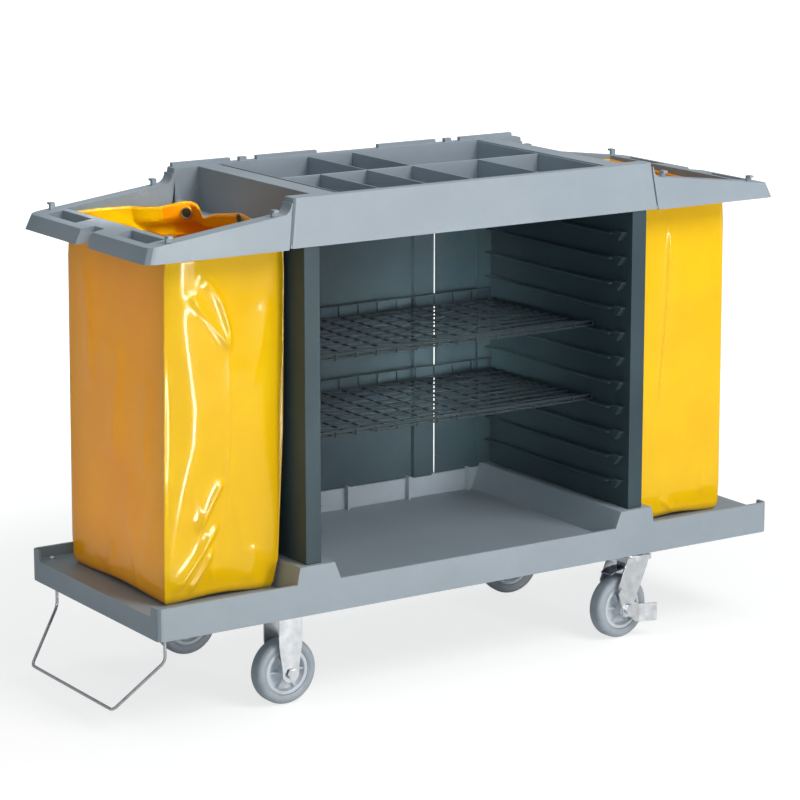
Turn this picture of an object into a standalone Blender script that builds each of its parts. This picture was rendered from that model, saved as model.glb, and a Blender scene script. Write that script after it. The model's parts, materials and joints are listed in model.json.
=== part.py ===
"""Housekeeping cart: moulded base, cabinet, deck, two bag wings, bags, shelves and casters.

Metres, +Z up. X runs along the cart, the open cabinet front faces -Y.
All sizes are measured from the middle of the base; ORIGIN_X moves the cart so that the
origin is under the middle of its bounding box, which the wire rest makes longer to the left.
"""
import math

import bmesh
import bpy
from mathutils import Matrix, Vector

GAP = 0.0003                    # space left between pieces that touch
FAR = 3.0                       # past the whole cart, for cuts that go right through

# Base moulding
BASE_X, BASE_Y = 0.712, 0.254   # half length, half width
BASE_Z0, FLOOR_Z, RIM_Z = 0.184, 0.226, 0.246
FLOOR_T, WALL_T = 0.0065, 0.005
RIDGE_Z = 0.279                 # tops of the two ridges that carry the side panels
RIDGE_IN, RIDGE_OUT = 0.335, 0.411
BACK_RIM_Z = 0.270
BACK_RIB_X = (-0.30, -0.15, 0.0, 0.15, 0.30)

# Cabinet panels
PANEL_IN, PANEL_OUT, PANEL_WALL = 0.359, 0.393, 0.003
PANEL_Y0, PANEL_Y1 = -0.245, 0.250
RAIL_COUNT, RAIL_TOP_Z, RAIL_PITCH = 11, 0.8315, 0.0501
RAIL_IN, RAIL_T, RAIL_SETBACK = 0.345, 0.005, 0.055
STOP_SETBACK, STOP_LENGTH, STOP_DROP, STOP_RISE = 0.017, 0.030, 0.014, 0.004
FLANGE_IN, FLANGE_Y0, SLOT_DEPTH = 0.325, 0.2365, 0.022
BACK_Y0, BACK_T = 0.2425, 0.003
BACK_SPLIT, BACK_SLIT = 0.2195, 0.0036
CHANNEL_IN, CHANNEL_W, CHANNEL_D = 0.163, 0.045, 0.011
PLUG_INSET, PLUG_Y, PLUG_H = 0.005, 0.150, 0.022

# Deck and organizer
DECK_Z0, DECK_Z1 = 0.879, 0.970
DECK_X0, DECK_X1 = 0.4225, 0.4095   # half length at the bottom and at the top
DECK_Y0, DECK_Y1 = 0.247, 0.240     # half width at the bottom and at the top
DECK_T = 0.0038
WELL_X, WELL_Y = 0.310, 0.2185
NOTCH_X, NOTCH_Y = 0.356, 0.2055
SEAT_Z, SEAT_RIM = 0.8835, 0.0185
LEDGE_T = 0.006
BACK_BARS = ((0.073, 0.212), (0.235, 0.251), (0.272, 0.402))
TRAY_X0, TRAY_X1, TRAY_T = -0.297, 0.3085, 0.003
DIVIDER_T = 0.003
FRONT_DIVIDERS = (-0.205, -0.100, 0.005, 0.160)
REAR_DIVIDERS = (-0.100, 0.005)

# Wings that carry the bags
WING_Z0, WING_X0, WING_X1 = 0.8766, 0.7195, 0.7085
WING_Y0, WING_Y1 = 0.2445, 0.2385
WING_TOP_IN, WING_TOP_OUT = 0.9425, 0.9050
WING_T = 0.0035
MOUTH_X, MOUTH_Y = 0.644, 0.205
HAND_SLOT_X, HAND_SLOT_Y = (0.012, 0.047), (0.077, 0.197)   # past the mouth, and from the middle
HANDLE_NOTCH_X, HANDLE_NOTCH_Y = 0.037, (0.019, 0.027)
LIP_T, FLARE_R = 0.003, 0.022   # walls round the openings, and the rails' curve up to the deck
HOOK_W, HOOK_T, HOOK_H, HOOK_REACH = 0.010, 0.007, 0.0125, 0.014
BAG_TOP_Z, BAG_T = 0.900, 0.003
BAG_DEEP, BAG_CORNER = 0.190, 0.012
BAG_OUT = {"left": 0.6605, "right": 0.6405}     # outer wall of each bag near its foot

# Wire shelves
SHELF_RAILS = (4, 7)
SHELF_X, SHELF_Y0, SHELF_Y1, WIRE = 0.3515, -0.135, 0.228, 0.004
SHELF_LONG, SHELF_CROSS = 7, 9
FENCE_H, LIP_H = 0.028, 0.015

# Casters
CASTER_X, CASTER_Y = 0.411, 0.188
TYRE_R, TYRE_W, HUB_R = 0.0645, 0.018, 0.0453
AXLE_R, TRAIL = 0.006, 0.034
FORK_Y, FORK_T = 0.0265, 0.003
PLATE_Z0, PLATE_Z1 = 0.1832, 0.1862
BOLT_X, BOLT_Y = 0.042, 0.032
SWIVEL_YAW = {"front": 5.0, "back": -8.0}

# Wire rest at the left end
REST_X, REST_Y, REST_Z, REST_R = -0.679, 0.2158, 0.2085, 0.003
REST_KNEE_Z, REST_TIP_X, REST_TIP_Y, REST_TIP_Z = 0.134, -0.762, 0.164, 0.041
SCREW_Y = 0.2325

ORIGIN_X = (-(REST_TIP_X - REST_R) - WING_X0) / 2
SIDES = {"left": -1, "right": 1}
ROWS = {"front": -1, "back": 1}

MATERIALS = {
    "light_plastic": ((0.33, 0.37, 0.41), 0.45, 0.0),
    "dark_plastic": ((0.035, 0.052, 0.060), 0.45, 0.0),
    "yellow_vinyl": ((0.94, 0.60, 0.02), 0.35, 0.0),
    "dark_wire": ((0.03, 0.045, 0.052), 0.35, 0.0),
    "zinc_steel": ((0.60, 0.63, 0.67), 0.30, 1.0),
    "bright_wire": ((0.55, 0.57, 0.60), 0.28, 1.0),
    "hub_plastic": ((0.52, 0.55, 0.58), 0.50, 0.0),
    "grey_rubber": ((0.33, 0.37, 0.41), 0.65, 0.0),
}


def material(name):
    """One Principled material per kind of stuff."""
    if name in bpy.data.materials:
        return bpy.data.materials[name]
    colour, rough, metal = MATERIALS[name]
    mat = bpy.data.materials.new(name)
    mat.use_nodes = True
    shader = mat.node_tree.nodes["Principled BSDF"]
    shader.inputs["Base Color"].default_value = (*colour, 1.0)
    shader.inputs["Roughness"].default_value = rough
    shader.inputs["Metallic"].default_value = metal
    return mat


def solid(verts, faces):
    """A closed mesh object, faces turned outward."""
    bm = bmesh.new()
    made = [bm.verts.new(v) for v in verts]
    for face in faces:
        bm.faces.new([made[i] for i in face])
    bmesh.ops.recalc_face_normals(bm, faces=bm.faces)
    mesh = bpy.data.meshes.new("solid")
    bm.to_mesh(mesh)
    bm.free()
    obj = bpy.data.objects.new("solid", mesh)
    bpy.context.scene.collection.objects.link(obj)
    return obj


def loft(rings):
    """A body through rings of equal point count, closed by the first and last ring."""
    n = len(rings[0])
    verts = [p for ring in rings for p in ring]
    faces = [tuple(range(n)), tuple(range((len(rings) - 1) * n, len(rings) * n))]
    for k in range(len(rings) - 1):
        for i in range(n):
            j = (i + 1) % n
            faces.append((k * n + i, k * n + j, (k + 1) * n + j, (k + 1) * n + i))
    return solid(verts, faces)


def box(x, y, z):
    """A box between (low, high) pairs."""
    outline = [(x[0], y[0]), (x[1], y[0]), (x[1], y[1]), (x[0], y[1])]
    return loft([[(a, b, h) for a, b in outline] for h in z])


def prism(outline, low, high, axis="z"):
    """A flat outline pushed along an axis; the outline is XY, XZ or YZ."""
    place = {"z": lambda a, b, h: (a, b, h), "y": lambda a, b, h: (a, h, b),
             "x": lambda a, b, h: (h, a, b)}[axis]
    return loft([[place(a, b, h) for a, b in outline] for h in (low, high)])


def rounded(x0, x1, y0, y1, radius, steps=3):
    """A rectangle outline with rounded corners."""
    points = []
    for cx, cy, start in ((x1, y1, 0), (x0, y1, 90), (x0, y0, 180), (x1, y0, 270)):
        mx = cx - radius if cx == x1 else cx + radius
        my = cy - radius if cy == y1 else cy + radius
        for k in range(steps + 1):
            a = math.radians(start + 90 * k / steps)
            points.append((mx + radius * math.cos(a), my + radius * math.sin(a)))
    return points


def circle(cx, cy, radius, count, turn=0.0):
    """Points round a circle."""
    step = 2 * math.pi / count
    return [(cx + radius * math.cos(turn + k * step), cy + radius * math.sin(turn + k * step))
            for k in range(count)]


def lathe(profile, count, axis="y"):
    """A ring body: a closed (radius, height) profile turned about an axis."""
    verts, faces, n = [], [], len(profile)
    for k in range(count):
        a = 2 * math.pi * k / count - math.pi / 2
        for r, h in profile:
            u, v = r * math.cos(a), r * math.sin(a)
            verts.append((u, h, v) if axis == "y" else (u, v, h))
    for k in range(count):
        for i in range(n):
            j, m = (i + 1) % n, (k + 1) % count
            faces.append((k * n + i, k * n + j, m * n + j, m * n + i))
    return solid(verts, faces)


def tube(path, radius, count):
    """A round wire along a path, its section carried without twist."""
    points = [Vector(p) for p in path]
    side, rings = None, []
    for k, here in enumerate(points):
        ahead = (points[min(k + 1, len(points) - 1)] - here).normalized()
        behind = (here - points[max(k - 1, 0)]).normalized()
        along = (ahead + behind).normalized()
        side = side or along.orthogonal().normalized()
        side = (side - along * side.dot(along)).normalized()
        other = along.cross(side)
        rings.append([here + radius * (side * math.cos(a) + other * math.sin(a))
                      for a in (2 * math.pi * i / count for i in range(count))])
    return loft(rings)


def fillet_path(corners, radius, steps=4):
    """A path through corners with each inner corner rounded."""
    path = [Vector(corners[0])]
    for a, b, c in zip(corners, corners[1:], corners[2:]):
        a, b, c = Vector(a), Vector(b), Vector(c)
        into, out = (a - b).normalized(), (c - b).normalized()
        for k in range(steps + 1):
            t = k / steps
            path.append(b + into * radius * (1 - t) ** 2 + out * radius * t ** 2)
    return path + [Vector(corners[-1])]


def boolean(target, tools, operation):
    """Apply each tool to the target in turn and remove the tools."""
    for tool in tools:
        mod = target.modifiers.new("op", "BOOLEAN")
        mod.operation, mod.solver, mod.object = operation, "EXACT", tool
        bpy.context.view_layer.update()
        shaped = target.evaluated_get(bpy.context.evaluated_depsgraph_get())
        mesh = bpy.data.meshes.new_from_object(shaped)
        target.modifiers.clear()
        target.data = mesh
        bpy.data.objects.remove(tool, do_unlink=True)
    return target


def cut(target, *tools):
    return boolean(target, tools, "DIFFERENCE")


def join(target, *tools):
    return boolean(target, tools, "UNION")


def mirror_x(obj):
    """Reflect a mesh to the other end of the cart."""
    obj.data.transform(Matrix.Scale(-1, 4, (1, 0, 0)))
    obj.data.flip_normals()
    return obj


def mirror_y(obj):
    obj.data.transform(Matrix.Scale(-1, 4, (0, 1, 0)))
    obj.data.flip_normals()
    return obj


def node(obj, name, stuff, at=(0, 0, 0), yaw=0.0, round_angle=None):
    """Name a finished body, give it its material and hang it on the cart origin."""
    bm = bmesh.new()
    bm.from_mesh(obj.data)
    bmesh.ops.dissolve_limit(bm, angle_limit=0.0005, verts=bm.verts, edges=bm.edges)
    bmesh.ops.triangulate(bm, faces=[f for f in bm.faces if len(f.verts) > 4])
    bm.to_mesh(obj.data)
    bm.free()
    obj.name = obj.data.name = name
    obj.data.materials.clear()
    obj.data.materials.append(material(stuff))
    obj.parent = bpy.data.objects["cart_origin"]
    obj.location = at
    obj.rotation_euler = (0, 0, yaw)
    if round_angle:
        obj.data.shade_smooth()
        obj.data.set_sharp_from_angle(angle=math.radians(round_angle))
    return obj


def base_tray():
    """Low moulding: rimmed platforms at the ends, two ridges, ribbed back rim, caster pads."""
    x, y = BASE_X, BASE_Y
    body = prism(rounded(-x, x, -y, y, 0.012), BASE_Z0, RIM_Z)
    under = FLOOR_Z - FLOOR_T
    foot, top = y - 0.032, y - 0.021
    rim_gap = [(-foot, FLOOR_Z), (foot, FLOOR_Z), (top, RIDGE_Z), (-top, RIDGE_Z)]
    cut(body,
        box((-x + 0.006, x - 0.006), (-y + 0.007, y - 0.007), (FLOOR_Z, FAR)),
        prism(rim_gap, -FAR, FAR, "x"),
        box((-x + WALL_T, x - WALL_T), (-y + WALL_T, y - WALL_T), (0, under)))
    ridge = [(RIDGE_IN - 0.023, under - 0.001), (RIDGE_OUT + 0.012, under - 0.001),
             (RIDGE_OUT, RIDGE_Z), (RIDGE_IN, RIDGE_Z)]
    hollow = (RIDGE_IN + 0.004, RIDGE_OUT - 0.005)
    for s in (-1, 1):
        join(body, prism([(s * a, b) for a, b in ridge], -y, y - 0.0135, "y"))
        cut(body, box(sorted(s * a for a in hollow), (-0.12, 0.12), (0, RIDGE_Z - 0.006)))
        join(body, box(sorted((s * (PANEL_IN + PLUG_INSET), s * (PANEL_OUT - PLUG_INSET))),
                       (-PLUG_Y, PLUG_Y), (RIDGE_Z - 0.003, RIDGE_Z + PLUG_H)))
    reach = RIDGE_OUT + 0.0125
    join(body, box((-reach, reach), (y - 0.0138, y - 0.0002), (under, BACK_RIM_Z)))
    for rib_x in BACK_RIB_X:
        join(body, box((rib_x - 0.002, rib_x + 0.002), (y - 0.0265, y - 0.0130),
                       (under, BACK_RIM_Z + 0.0055)))
    for sx in (-1, 1):
        for sy in (-1, 1):
            cx, cy = sx * CASTER_X, sy * CASTER_Y
            join(body, box((cx - 0.056, cx + 0.056), (cy - 0.046, cy + 0.046),
                           (PLATE_Z1 + GAP, under + 0.001)))
            cut(body, *[prism(circle(cx + bx, cy + by, 0.0049, 8), 0, PLATE_Z1 + 0.0168)
                        for bx in (-BOLT_X, BOLT_X) for by in (-BOLT_Y, BOLT_Y)])
    cut(body, *[prism(circle(REST_X, s * SCREW_Y, 0.0038, 8), 0, FAR) for s in (-1, 1)])
    node(body, "base_tray", "light_plastic")


def side_panel(name, s):
    """Hollow panel, open at both ends, with shelf rails, front stops and a slotted rear flange."""
    z0, z1 = RIDGE_Z + GAP, DECK_Z0 - GAP
    body = box((PANEL_IN, PANEL_OUT), (PANEL_Y0, PANEL_Y1), (z0, z1))
    join(body, box((FLANGE_IN, PANEL_IN + 0.001), (FLANGE_Y0, PANEL_Y1), (z0, z1)))
    for k in range(RAIL_COUNT):
        top = RAIL_TOP_Z - k * RAIL_PITCH
        y0, y1 = PANEL_Y0 + STOP_SETBACK, PANEL_Y0 + STOP_SETBACK + STOP_LENGTH
        stop = [(y0, top + STOP_RISE), (y1, top + STOP_RISE), ((y0 + 2 * y1) / 3, top - STOP_DROP),
                ((y0 + y1) / 2, top - STOP_DROP)]
        join(body,
             box((RAIL_IN, PANEL_IN + 0.001), (PANEL_Y0 + RAIL_SETBACK, FLANGE_Y0 + 0.001),
                 (top - RAIL_T, top)),
             prism(stop, RAIL_IN + 0.002, PANEL_IN + 0.001, "x"))
    t = PANEL_WALL
    cut(body, box((PANEL_IN + t, PANEL_OUT - t), (PANEL_Y0 + t, PANEL_Y1 - t), (0, FAR)),
        box((0, FLANGE_IN + SLOT_DEPTH), (BACK_Y0 - 0.0008, BACK_Y0 + BACK_T + 0.0008), (0, FAR)))
    if s < 0:
        mirror_x(body)
    node(body, name, "dark_plastic")


def back_panels():
    """Three thin back panels; the middle one has two raised stiffening channels."""
    z0, z1 = BACK_RIM_Z + GAP, DECK_Z0 - GAP
    y0, y1, deep = BACK_Y0, BACK_Y0 + BACK_T, CHANNEL_D
    front, rear = [], []
    for s in (-1, 1):
        a, b = sorted((s * CHANNEL_IN, s * (CHANNEL_IN + CHANNEL_W)))
        front += [(a, y0), (a, y0 - deep), (b, y0 - deep), (b, y0)]
        rear += [(a + BACK_T, y1), (a + BACK_T, y1 - deep), (b - BACK_T, y1 - deep), (b - BACK_T, y1)]
    outline = [(-BACK_SPLIT, y0)] + front + [(BACK_SPLIT, y0), (BACK_SPLIT, y1)]
    outline += rear[::-1] + [(-BACK_SPLIT, y1)]
    node(prism(outline, z0, z1), "back_panel_center", "dark_plastic")
    for name, s in SIDES.items():
        x = sorted((s * (BACK_SPLIT + BACK_SLIT), s * (FLANGE_IN + SLOT_DEPTH - 0.002)))
        node(box(x, (y0, y1), (z0, z1)), f"back_panel_{name}", "dark_plastic")


def wire_shelf(name, rail):
    """Wire grid with a low front lip and a back fence, resting on a pair of rails."""
    z = RAIL_TOP_Z - rail * RAIL_PITCH + GAP
    w, y0, y1 = WIRE, SHELF_Y0, SHELF_Y1
    bent = [(y0, z), (y1, z), (y1, z + FENCE_H), (y1 - w, z + FENCE_H), (y1 - w, z + w),
            (y0 + w, z + w), (y0 + w, z + LIP_H), (y0, z + LIP_H)]
    step = 2 * (SHELF_X - w / 2) / (SHELF_CROSS - 1)
    cross = [-SHELF_X + w / 2 + k * step for k in range(SHELF_CROSS)]
    body = prism(bent, cross[0] - w / 2, cross[0] + w / 2, "x")
    others = [prism(bent, x - w / 2, x + w / 2, "x") for x in cross[1:]]
    pitch = (y1 - y0 - 2 * w) / (SHELF_LONG + 1)
    rows = [(y0 + w + (k + 1) * pitch, z + w - 0.001) for k in range(SHELF_LONG)]
    rows += [(y1 - w - 0.0005, z + FENCE_H - w - 0.001), (y0 + w + 0.0005, z + LIP_H - w - 0.001)]
    long_wires = [box((-SHELF_X + 0.0007, SHELF_X - 0.0007), (y - w / 2, y + w / 2), (h, h + w - 0.0006))
                  for y, h in rows]
    join(body, *long_wires)
    join(body, *others)
    node(body, name, "dark_wire")


def top_deck():
    """Drafted deck shell with a seat for the organizer, end notches and plugs for the panels."""
    radius = 0.010
    body = loft([[(a, b, z) for a, b in rounded(-x, x, -y, y, radius)]
                 for x, y, z in ((DECK_X0, DECK_Y0, DECK_Z0), (DECK_X1, DECK_Y1, DECK_Z1))])
    t = DECK_T
    inside = loft([[(a, b, z) for a, b in rounded(-x + t, x - t, -y + t, y - t, radius - t)]
                   for x, y, z in ((DECK_X0 + 0.0001, DECK_Y0 + 0.0001, DECK_Z0 - 0.001),
                                   (DECK_X1, DECK_Y1, DECK_Z1 - t))])
    middle = (DECK_Z0 + DECK_Z1) / 2
    cut(body, inside, box((-WELL_X, WELL_X), (-WELL_Y, WELL_Y), (middle, FAR)))
    seat = box((-NOTCH_X + 0.002, NOTCH_X - 0.002), (-DECK_Y0 + 0.0025, DECK_Y0 - 0.0025),
               (SEAT_Z - 0.0032, SEAT_Z))
    cut(seat, box((-WELL_X + 0.025, WELL_X - 0.025), (-WELL_Y + SEAT_RIM, WELL_Y - SEAT_RIM), (0, FAR)))
    join(body, seat)
    for s in (-1, 1):
        wall = sorted((s * (NOTCH_X - 0.004), s * NOTCH_X))
        reach = (NOTCH_X - 0.003, DECK_X0 - 0.002)
        join(body,
             box(wall, (-DECK_Y1 - 0.002, DECK_Y1 + 0.002), (SEAT_Z - 0.0025, middle)),
             box(wall, (-NOTCH_Y - 0.003, NOTCH_Y + 0.003), (SEAT_Z - 0.002, DECK_Z1 - 0.003)),
             box(sorted(s * a for a in reach), (-DECK_Y0 + 0.0025, DECK_Y0 - 0.0025),
                 (DECK_Z0 + 0.0002, DECK_Z0 + LEDGE_T)))
        for sy in (-1, 1):
            join(body, box(sorted(s * a for a in (reach[0], DECK_X1 - 0.001)),
                           sorted((sy * NOTCH_Y, sy * (NOTCH_Y + 0.004))),
                           (DECK_Z0 + 0.003, DECK_Z1 - 0.002)))
        cut(body, box(sorted((s * NOTCH_X, s * FAR)), (-NOTCH_Y, NOTCH_Y), (DECK_Z0 + LEDGE_T, FAR)))
        join(body, box(sorted((s * (PANEL_IN + PLUG_INSET), s * (PANEL_OUT - PLUG_INSET))),
                       (-PLUG_Y, PLUG_Y), (DECK_Z0 - PLUG_H, DECK_Z0 + LEDGE_T / 2)))
        for a, b in BACK_BARS:
            join(body, box(sorted((s * a, s * b)), (DECK_Y1 - 0.0135, DECK_Y1 - 0.0035),
                           (DECK_Z1 - 0.002, DECK_Z1 + 0.0075)))
    node(body, "top_deck", "light_plastic")


def organizer():
    """Lift-out organizer: an open tray and an egg-crate divider that stands in it."""
    z0, z1 = SEAT_Z + GAP, DECK_Z1 - 0.002
    y = WELL_Y - 0.0015
    body = box((TRAY_X0, TRAY_X1), (-y, y), (z0, z1))
    inner = (TRAY_X0 + TRAY_T, TRAY_X1 - TRAY_T), (-y + TRAY_T, y - TRAY_T)
    cut(body, box(*inner, (z0 + TRAY_T, FAR)))
    node(body, "organizer_tray", "light_plastic")

    z0 += TRAY_T + GAP
    x0, x1, y1 = inner[0][0] + GAP, inner[0][1] - GAP, inner[1][1] - GAP
    half = DIVIDER_T / 2
    body = box((x0, x1), (-half, half), (z0, z1))
    for rows, y in ((FRONT_DIVIDERS, (-y1, 0)), (REAR_DIVIDERS, (0, y1))):
        join(body, *[box((x - half, x + half), y, (z0, z1)) for x in rows])
    node(body, "organizer_dividers", "light_plastic")


def wing(name, s):
    """Open frame at one end of the deck: bag mouth, end bar with hand slots, notch and hooks."""
    def top_z(x):
        slope = (WING_TOP_OUT - WING_TOP_IN) / (WING_X1 - DECK_X1)
        return WING_TOP_IN + slope * (x - DECK_X1)

    def shell(inset, low, drop):
        x0 = DECK_X1 - 0.03
        bottom = rounded(x0, WING_X0 - inset, -WING_Y0 + inset, WING_Y0 - inset, 0.020 - inset)
        top = rounded(x0, WING_X1 - inset, -WING_Y1 + inset, WING_Y1 - inset, 0.020 - inset)
        return loft([[(a, b, low) for a, b in bottom], [(a, b, top_z(a) - drop) for a, b in top]])

    def openings(grow):
        (x0, x1), (y0, y1) = HAND_SLOT_X, HAND_SLOT_Y
        across = (MOUTH_X + x0 - grow, MOUTH_X + x1 + grow)
        slots = [box(across, sorted((sy * (y0 - grow), sy * (y1 + grow))), (0, FAR)) for sy in (-1, 1)]
        tip, wide = (y + grow for y in HANDLE_NOTCH_Y)
        near, far = MOUTH_X + HANDLE_NOTCH_X - grow, WING_X0 + 0.02
        notch = prism([(near, -tip), (far, -wide), (far, wide), (near, tip)], 0, FAR)
        mouth = box((0, MOUTH_X + grow), (-MOUTH_Y - grow, MOUTH_Y + grow), (0, FAR))
        return [mouth, notch] + slots

    body = shell(0.0, WING_Z0, 0.0)
    hollow = shell(WING_T, WING_Z0 - 0.001, WING_T)
    for tool in openings(LIP_T):
        cut(hollow, tool)
    cut(body, hollow)
    for tool in openings(0.0):
        cut(body, tool)
    for x in (DECK_X0 + 0.0225, MOUTH_X + 0.020):
        root, y = top_z(x), WING_Y1 - 0.0165
        wide = (x - HOOK_W / 2, x + HOOK_W / 2)
        for sy in (-1, 1):
            stem = sorted((sy * y, sy * (y + HOOK_T)))
            tongue = sorted((sy * (y + 0.0005), sy * (y + HOOK_REACH)))
            join(body, box(wide, stem, (root - 0.003, root + HOOK_H - 0.0005)),
                 box(wide, tongue, (root + HOOK_H - 0.004, root + HOOK_H)))
    lean = (DECK_X0 - DECK_X1) / (DECK_Z1 - DECK_Z0)
    near = DECK_X0 + 0.0005
    foot = near + (DECK_Z0 - WING_TOP_IN) * lean + FLARE_R
    rail = top_z(foot) - 0.0006
    curve = [(foot - FLARE_R * math.sin(a), rail + FLARE_R * (1 - math.cos(a)))
             for a in (math.radians(15 * k) for k in range(7))]
    back = DECK_X1 - 0.02
    flare = [(foot, rail - 0.002)] + curve + [(back, rail + FLARE_R), (back, rail - 0.002)]
    for sy in (-1, 1):
        join(body, prism(flare, *sorted((sy * (MOUTH_Y + 0.0002), sy * (WING_Y1 - 0.0005))), "y"))
    end = [(0, 0), (near + DECK_Z0 * lean, 0), (near + (DECK_Z0 - FAR) * lean, FAR), (0, FAR)]
    cut(body, prism(end, -FAR, FAR, "y"))
    if s < 0:
        mirror_x(body)
    node(body, name, "light_plastic")


def bag(name, s):
    """Open-topped vinyl bag: stands on the platform and rises into the mouth of the wing."""
    foot, mid, top = RIDGE_OUT + 0.014, PANEL_OUT + 0.0055, DECK_X0 + 0.003
    out, mouth, deep = BAG_OUT[name.split("_")[1]], MOUTH_X - 0.0025, BAG_DEEP
    under_deck, in_wing = DECK_Z0 - FLOOR_Z - 0.0117, WING_Z0 - FLOOR_Z - 0.001
    levels = [(0.0, foot + 0.0035, out - 0.005, deep - 0.011),
              (0.010, foot, out, deep - 0.006),
              (RIDGE_Z - FLOOR_Z + 0.003, RIDGE_OUT + 0.0035, out + 0.001, deep - 0.004),
              (0.30, mid + 0.004, out - 0.002, deep - 0.002),
              (0.60, mid, min(out - 0.006, mouth + 0.013), deep),
              (under_deck, mid + 0.001, min(out - 0.009, mouth + 0.010), deep),
              (in_wing, top, min(out - 0.009, mouth), deep),
              (BAG_TOP_Z - FLOOR_Z, top + 0.003, min(out - 0.010, mouth - 0.002), deep)]

    def ring(h, x0, x1, y, inset, lift):
        return [(a, b, FLOOR_Z + GAP + h + lift)
                for a, b in rounded(x0 + inset, x1 - inset, -y + inset, y - inset, BAG_CORNER - inset)]

    outer = [ring(*level, 0.0, 0.0) for level in levels]
    inner = [ring(*level, BAG_T, BAG_T if k == 0 else 0.0) for k, level in enumerate(levels)]
    body = loft(outer + inner[::-1])
    if s < 0:
        mirror_x(body)
    node(body, name, "yellow_vinyl", round_angle=40)


def wheel(prefix, centre, yaw):
    """Tyre, hub and axle bolt of one caster."""
    w, r = TYRE_W, TYRE_R
    tyre = [(0.046, -w + 0.002), (r - 0.0065, -w), (r - 0.002, -w * 0.68), (r, -w * 0.28),
            (r, w * 0.28), (r - 0.002, w * 0.68), (r - 0.0065, w), (0.046, w - 0.002)]
    node(lathe(tyre, 24), f"{prefix}_tyre", "grey_rubber", centre, yaw, 40)
    bore, boss, rim = AXLE_R + 0.0005, 0.014, HUB_R
    hub = [(bore, -0.019), (boss, -0.019), (boss, -0.004), (0.036, -0.004), (0.0385, -0.0155),
           (rim, -0.0155), (rim, 0.0155), (0.0385, 0.0155), (0.036, 0.004), (boss, 0.004),
           (boss, 0.019), (bore, 0.019)]
    node(lathe(hub, 24), f"{prefix}_hub", "hub_plastic", centre, yaw, 40)
    outer = FORK_Y + FORK_T + 0.0041
    axle = prism(circle(0, 0, AXLE_R, 16), -outer - 0.001, outer + 0.001, "y")
    for a, b in ((-outer - 0.006, -outer), (outer, outer + 0.006)):
        join(axle, prism(circle(0, 0, 0.0105, 6), a, b, "y"))
    node(axle, f"{prefix}_axle", "zinc_steel", centre, yaw)


def bolts(prefix, cx, cy):
    """Four hexagon bolts through a caster plate into the base."""
    for k, (bx, by) in enumerate(((-1, -1), (1, -1), (1, 1), (-1, 1)), 1):
        bolt = prism(circle(0, 0, 0.0075, 6), PLATE_Z0 - GAP - 0.005, PLATE_Z0 - GAP)
        join(bolt, prism(circle(0, 0, 0.004, 8), PLATE_Z0 - GAP - 0.001, PLATE_Z1 + 0.012))
        node(bolt, f"{prefix}_bolt_{k}", "zinc_steel", (cx + bx * BOLT_X, cy + by * BOLT_Y, 0))


def mount_plate():
    """Top plate of a caster with its four bolt holes."""
    plate = box((-0.054, 0.054), (-0.044, 0.044), (PLATE_Z0, PLATE_Z1))
    return cut(plate, *[prism(circle(bx, by, 0.0048, 8), 0.1, 0.3)
                        for bx in (-BOLT_X, BOLT_X) for by in (-BOLT_Y, BOLT_Y)])


def leg_outline(x0, x1, top, cx, cz, radius):
    """Fork leg seen from the side: straight edges running into a round end about the axle."""
    arc = [(cx + radius * math.cos(math.radians(a)), cz + radius * math.sin(math.radians(a)))
           for a in (20, -20, -55, -90, -125, -160, -200)]
    return [(x0, top), (x1, top), (x1, cz + 0.055)] + arc + [(x0, cz + 0.055)]


def rigid_caster(prefix, cx, cy):
    """Fixed caster: plate with two straight legs, wheel on an axle bolt."""
    fork = mount_plate()
    outline = leg_outline(-0.025, 0.025, PLATE_Z0 + 0.001, 0, TYRE_R, 0.019)
    for s in (-1, 1):
        join(fork, prism(outline, *sorted((s * FORK_Y, s * (FORK_Y + FORK_T))), "y"))
    cut(fork, prism(circle(0, TYRE_R, AXLE_R + 0.0004, 16), -0.1, 0.1, "y"))
    node(fork, f"{prefix}_fork", "zinc_steel", (cx, cy, 0))
    wheel(prefix, (cx, cy, TYRE_R), 0.0)
    bolts(prefix, cx, cy)


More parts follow.
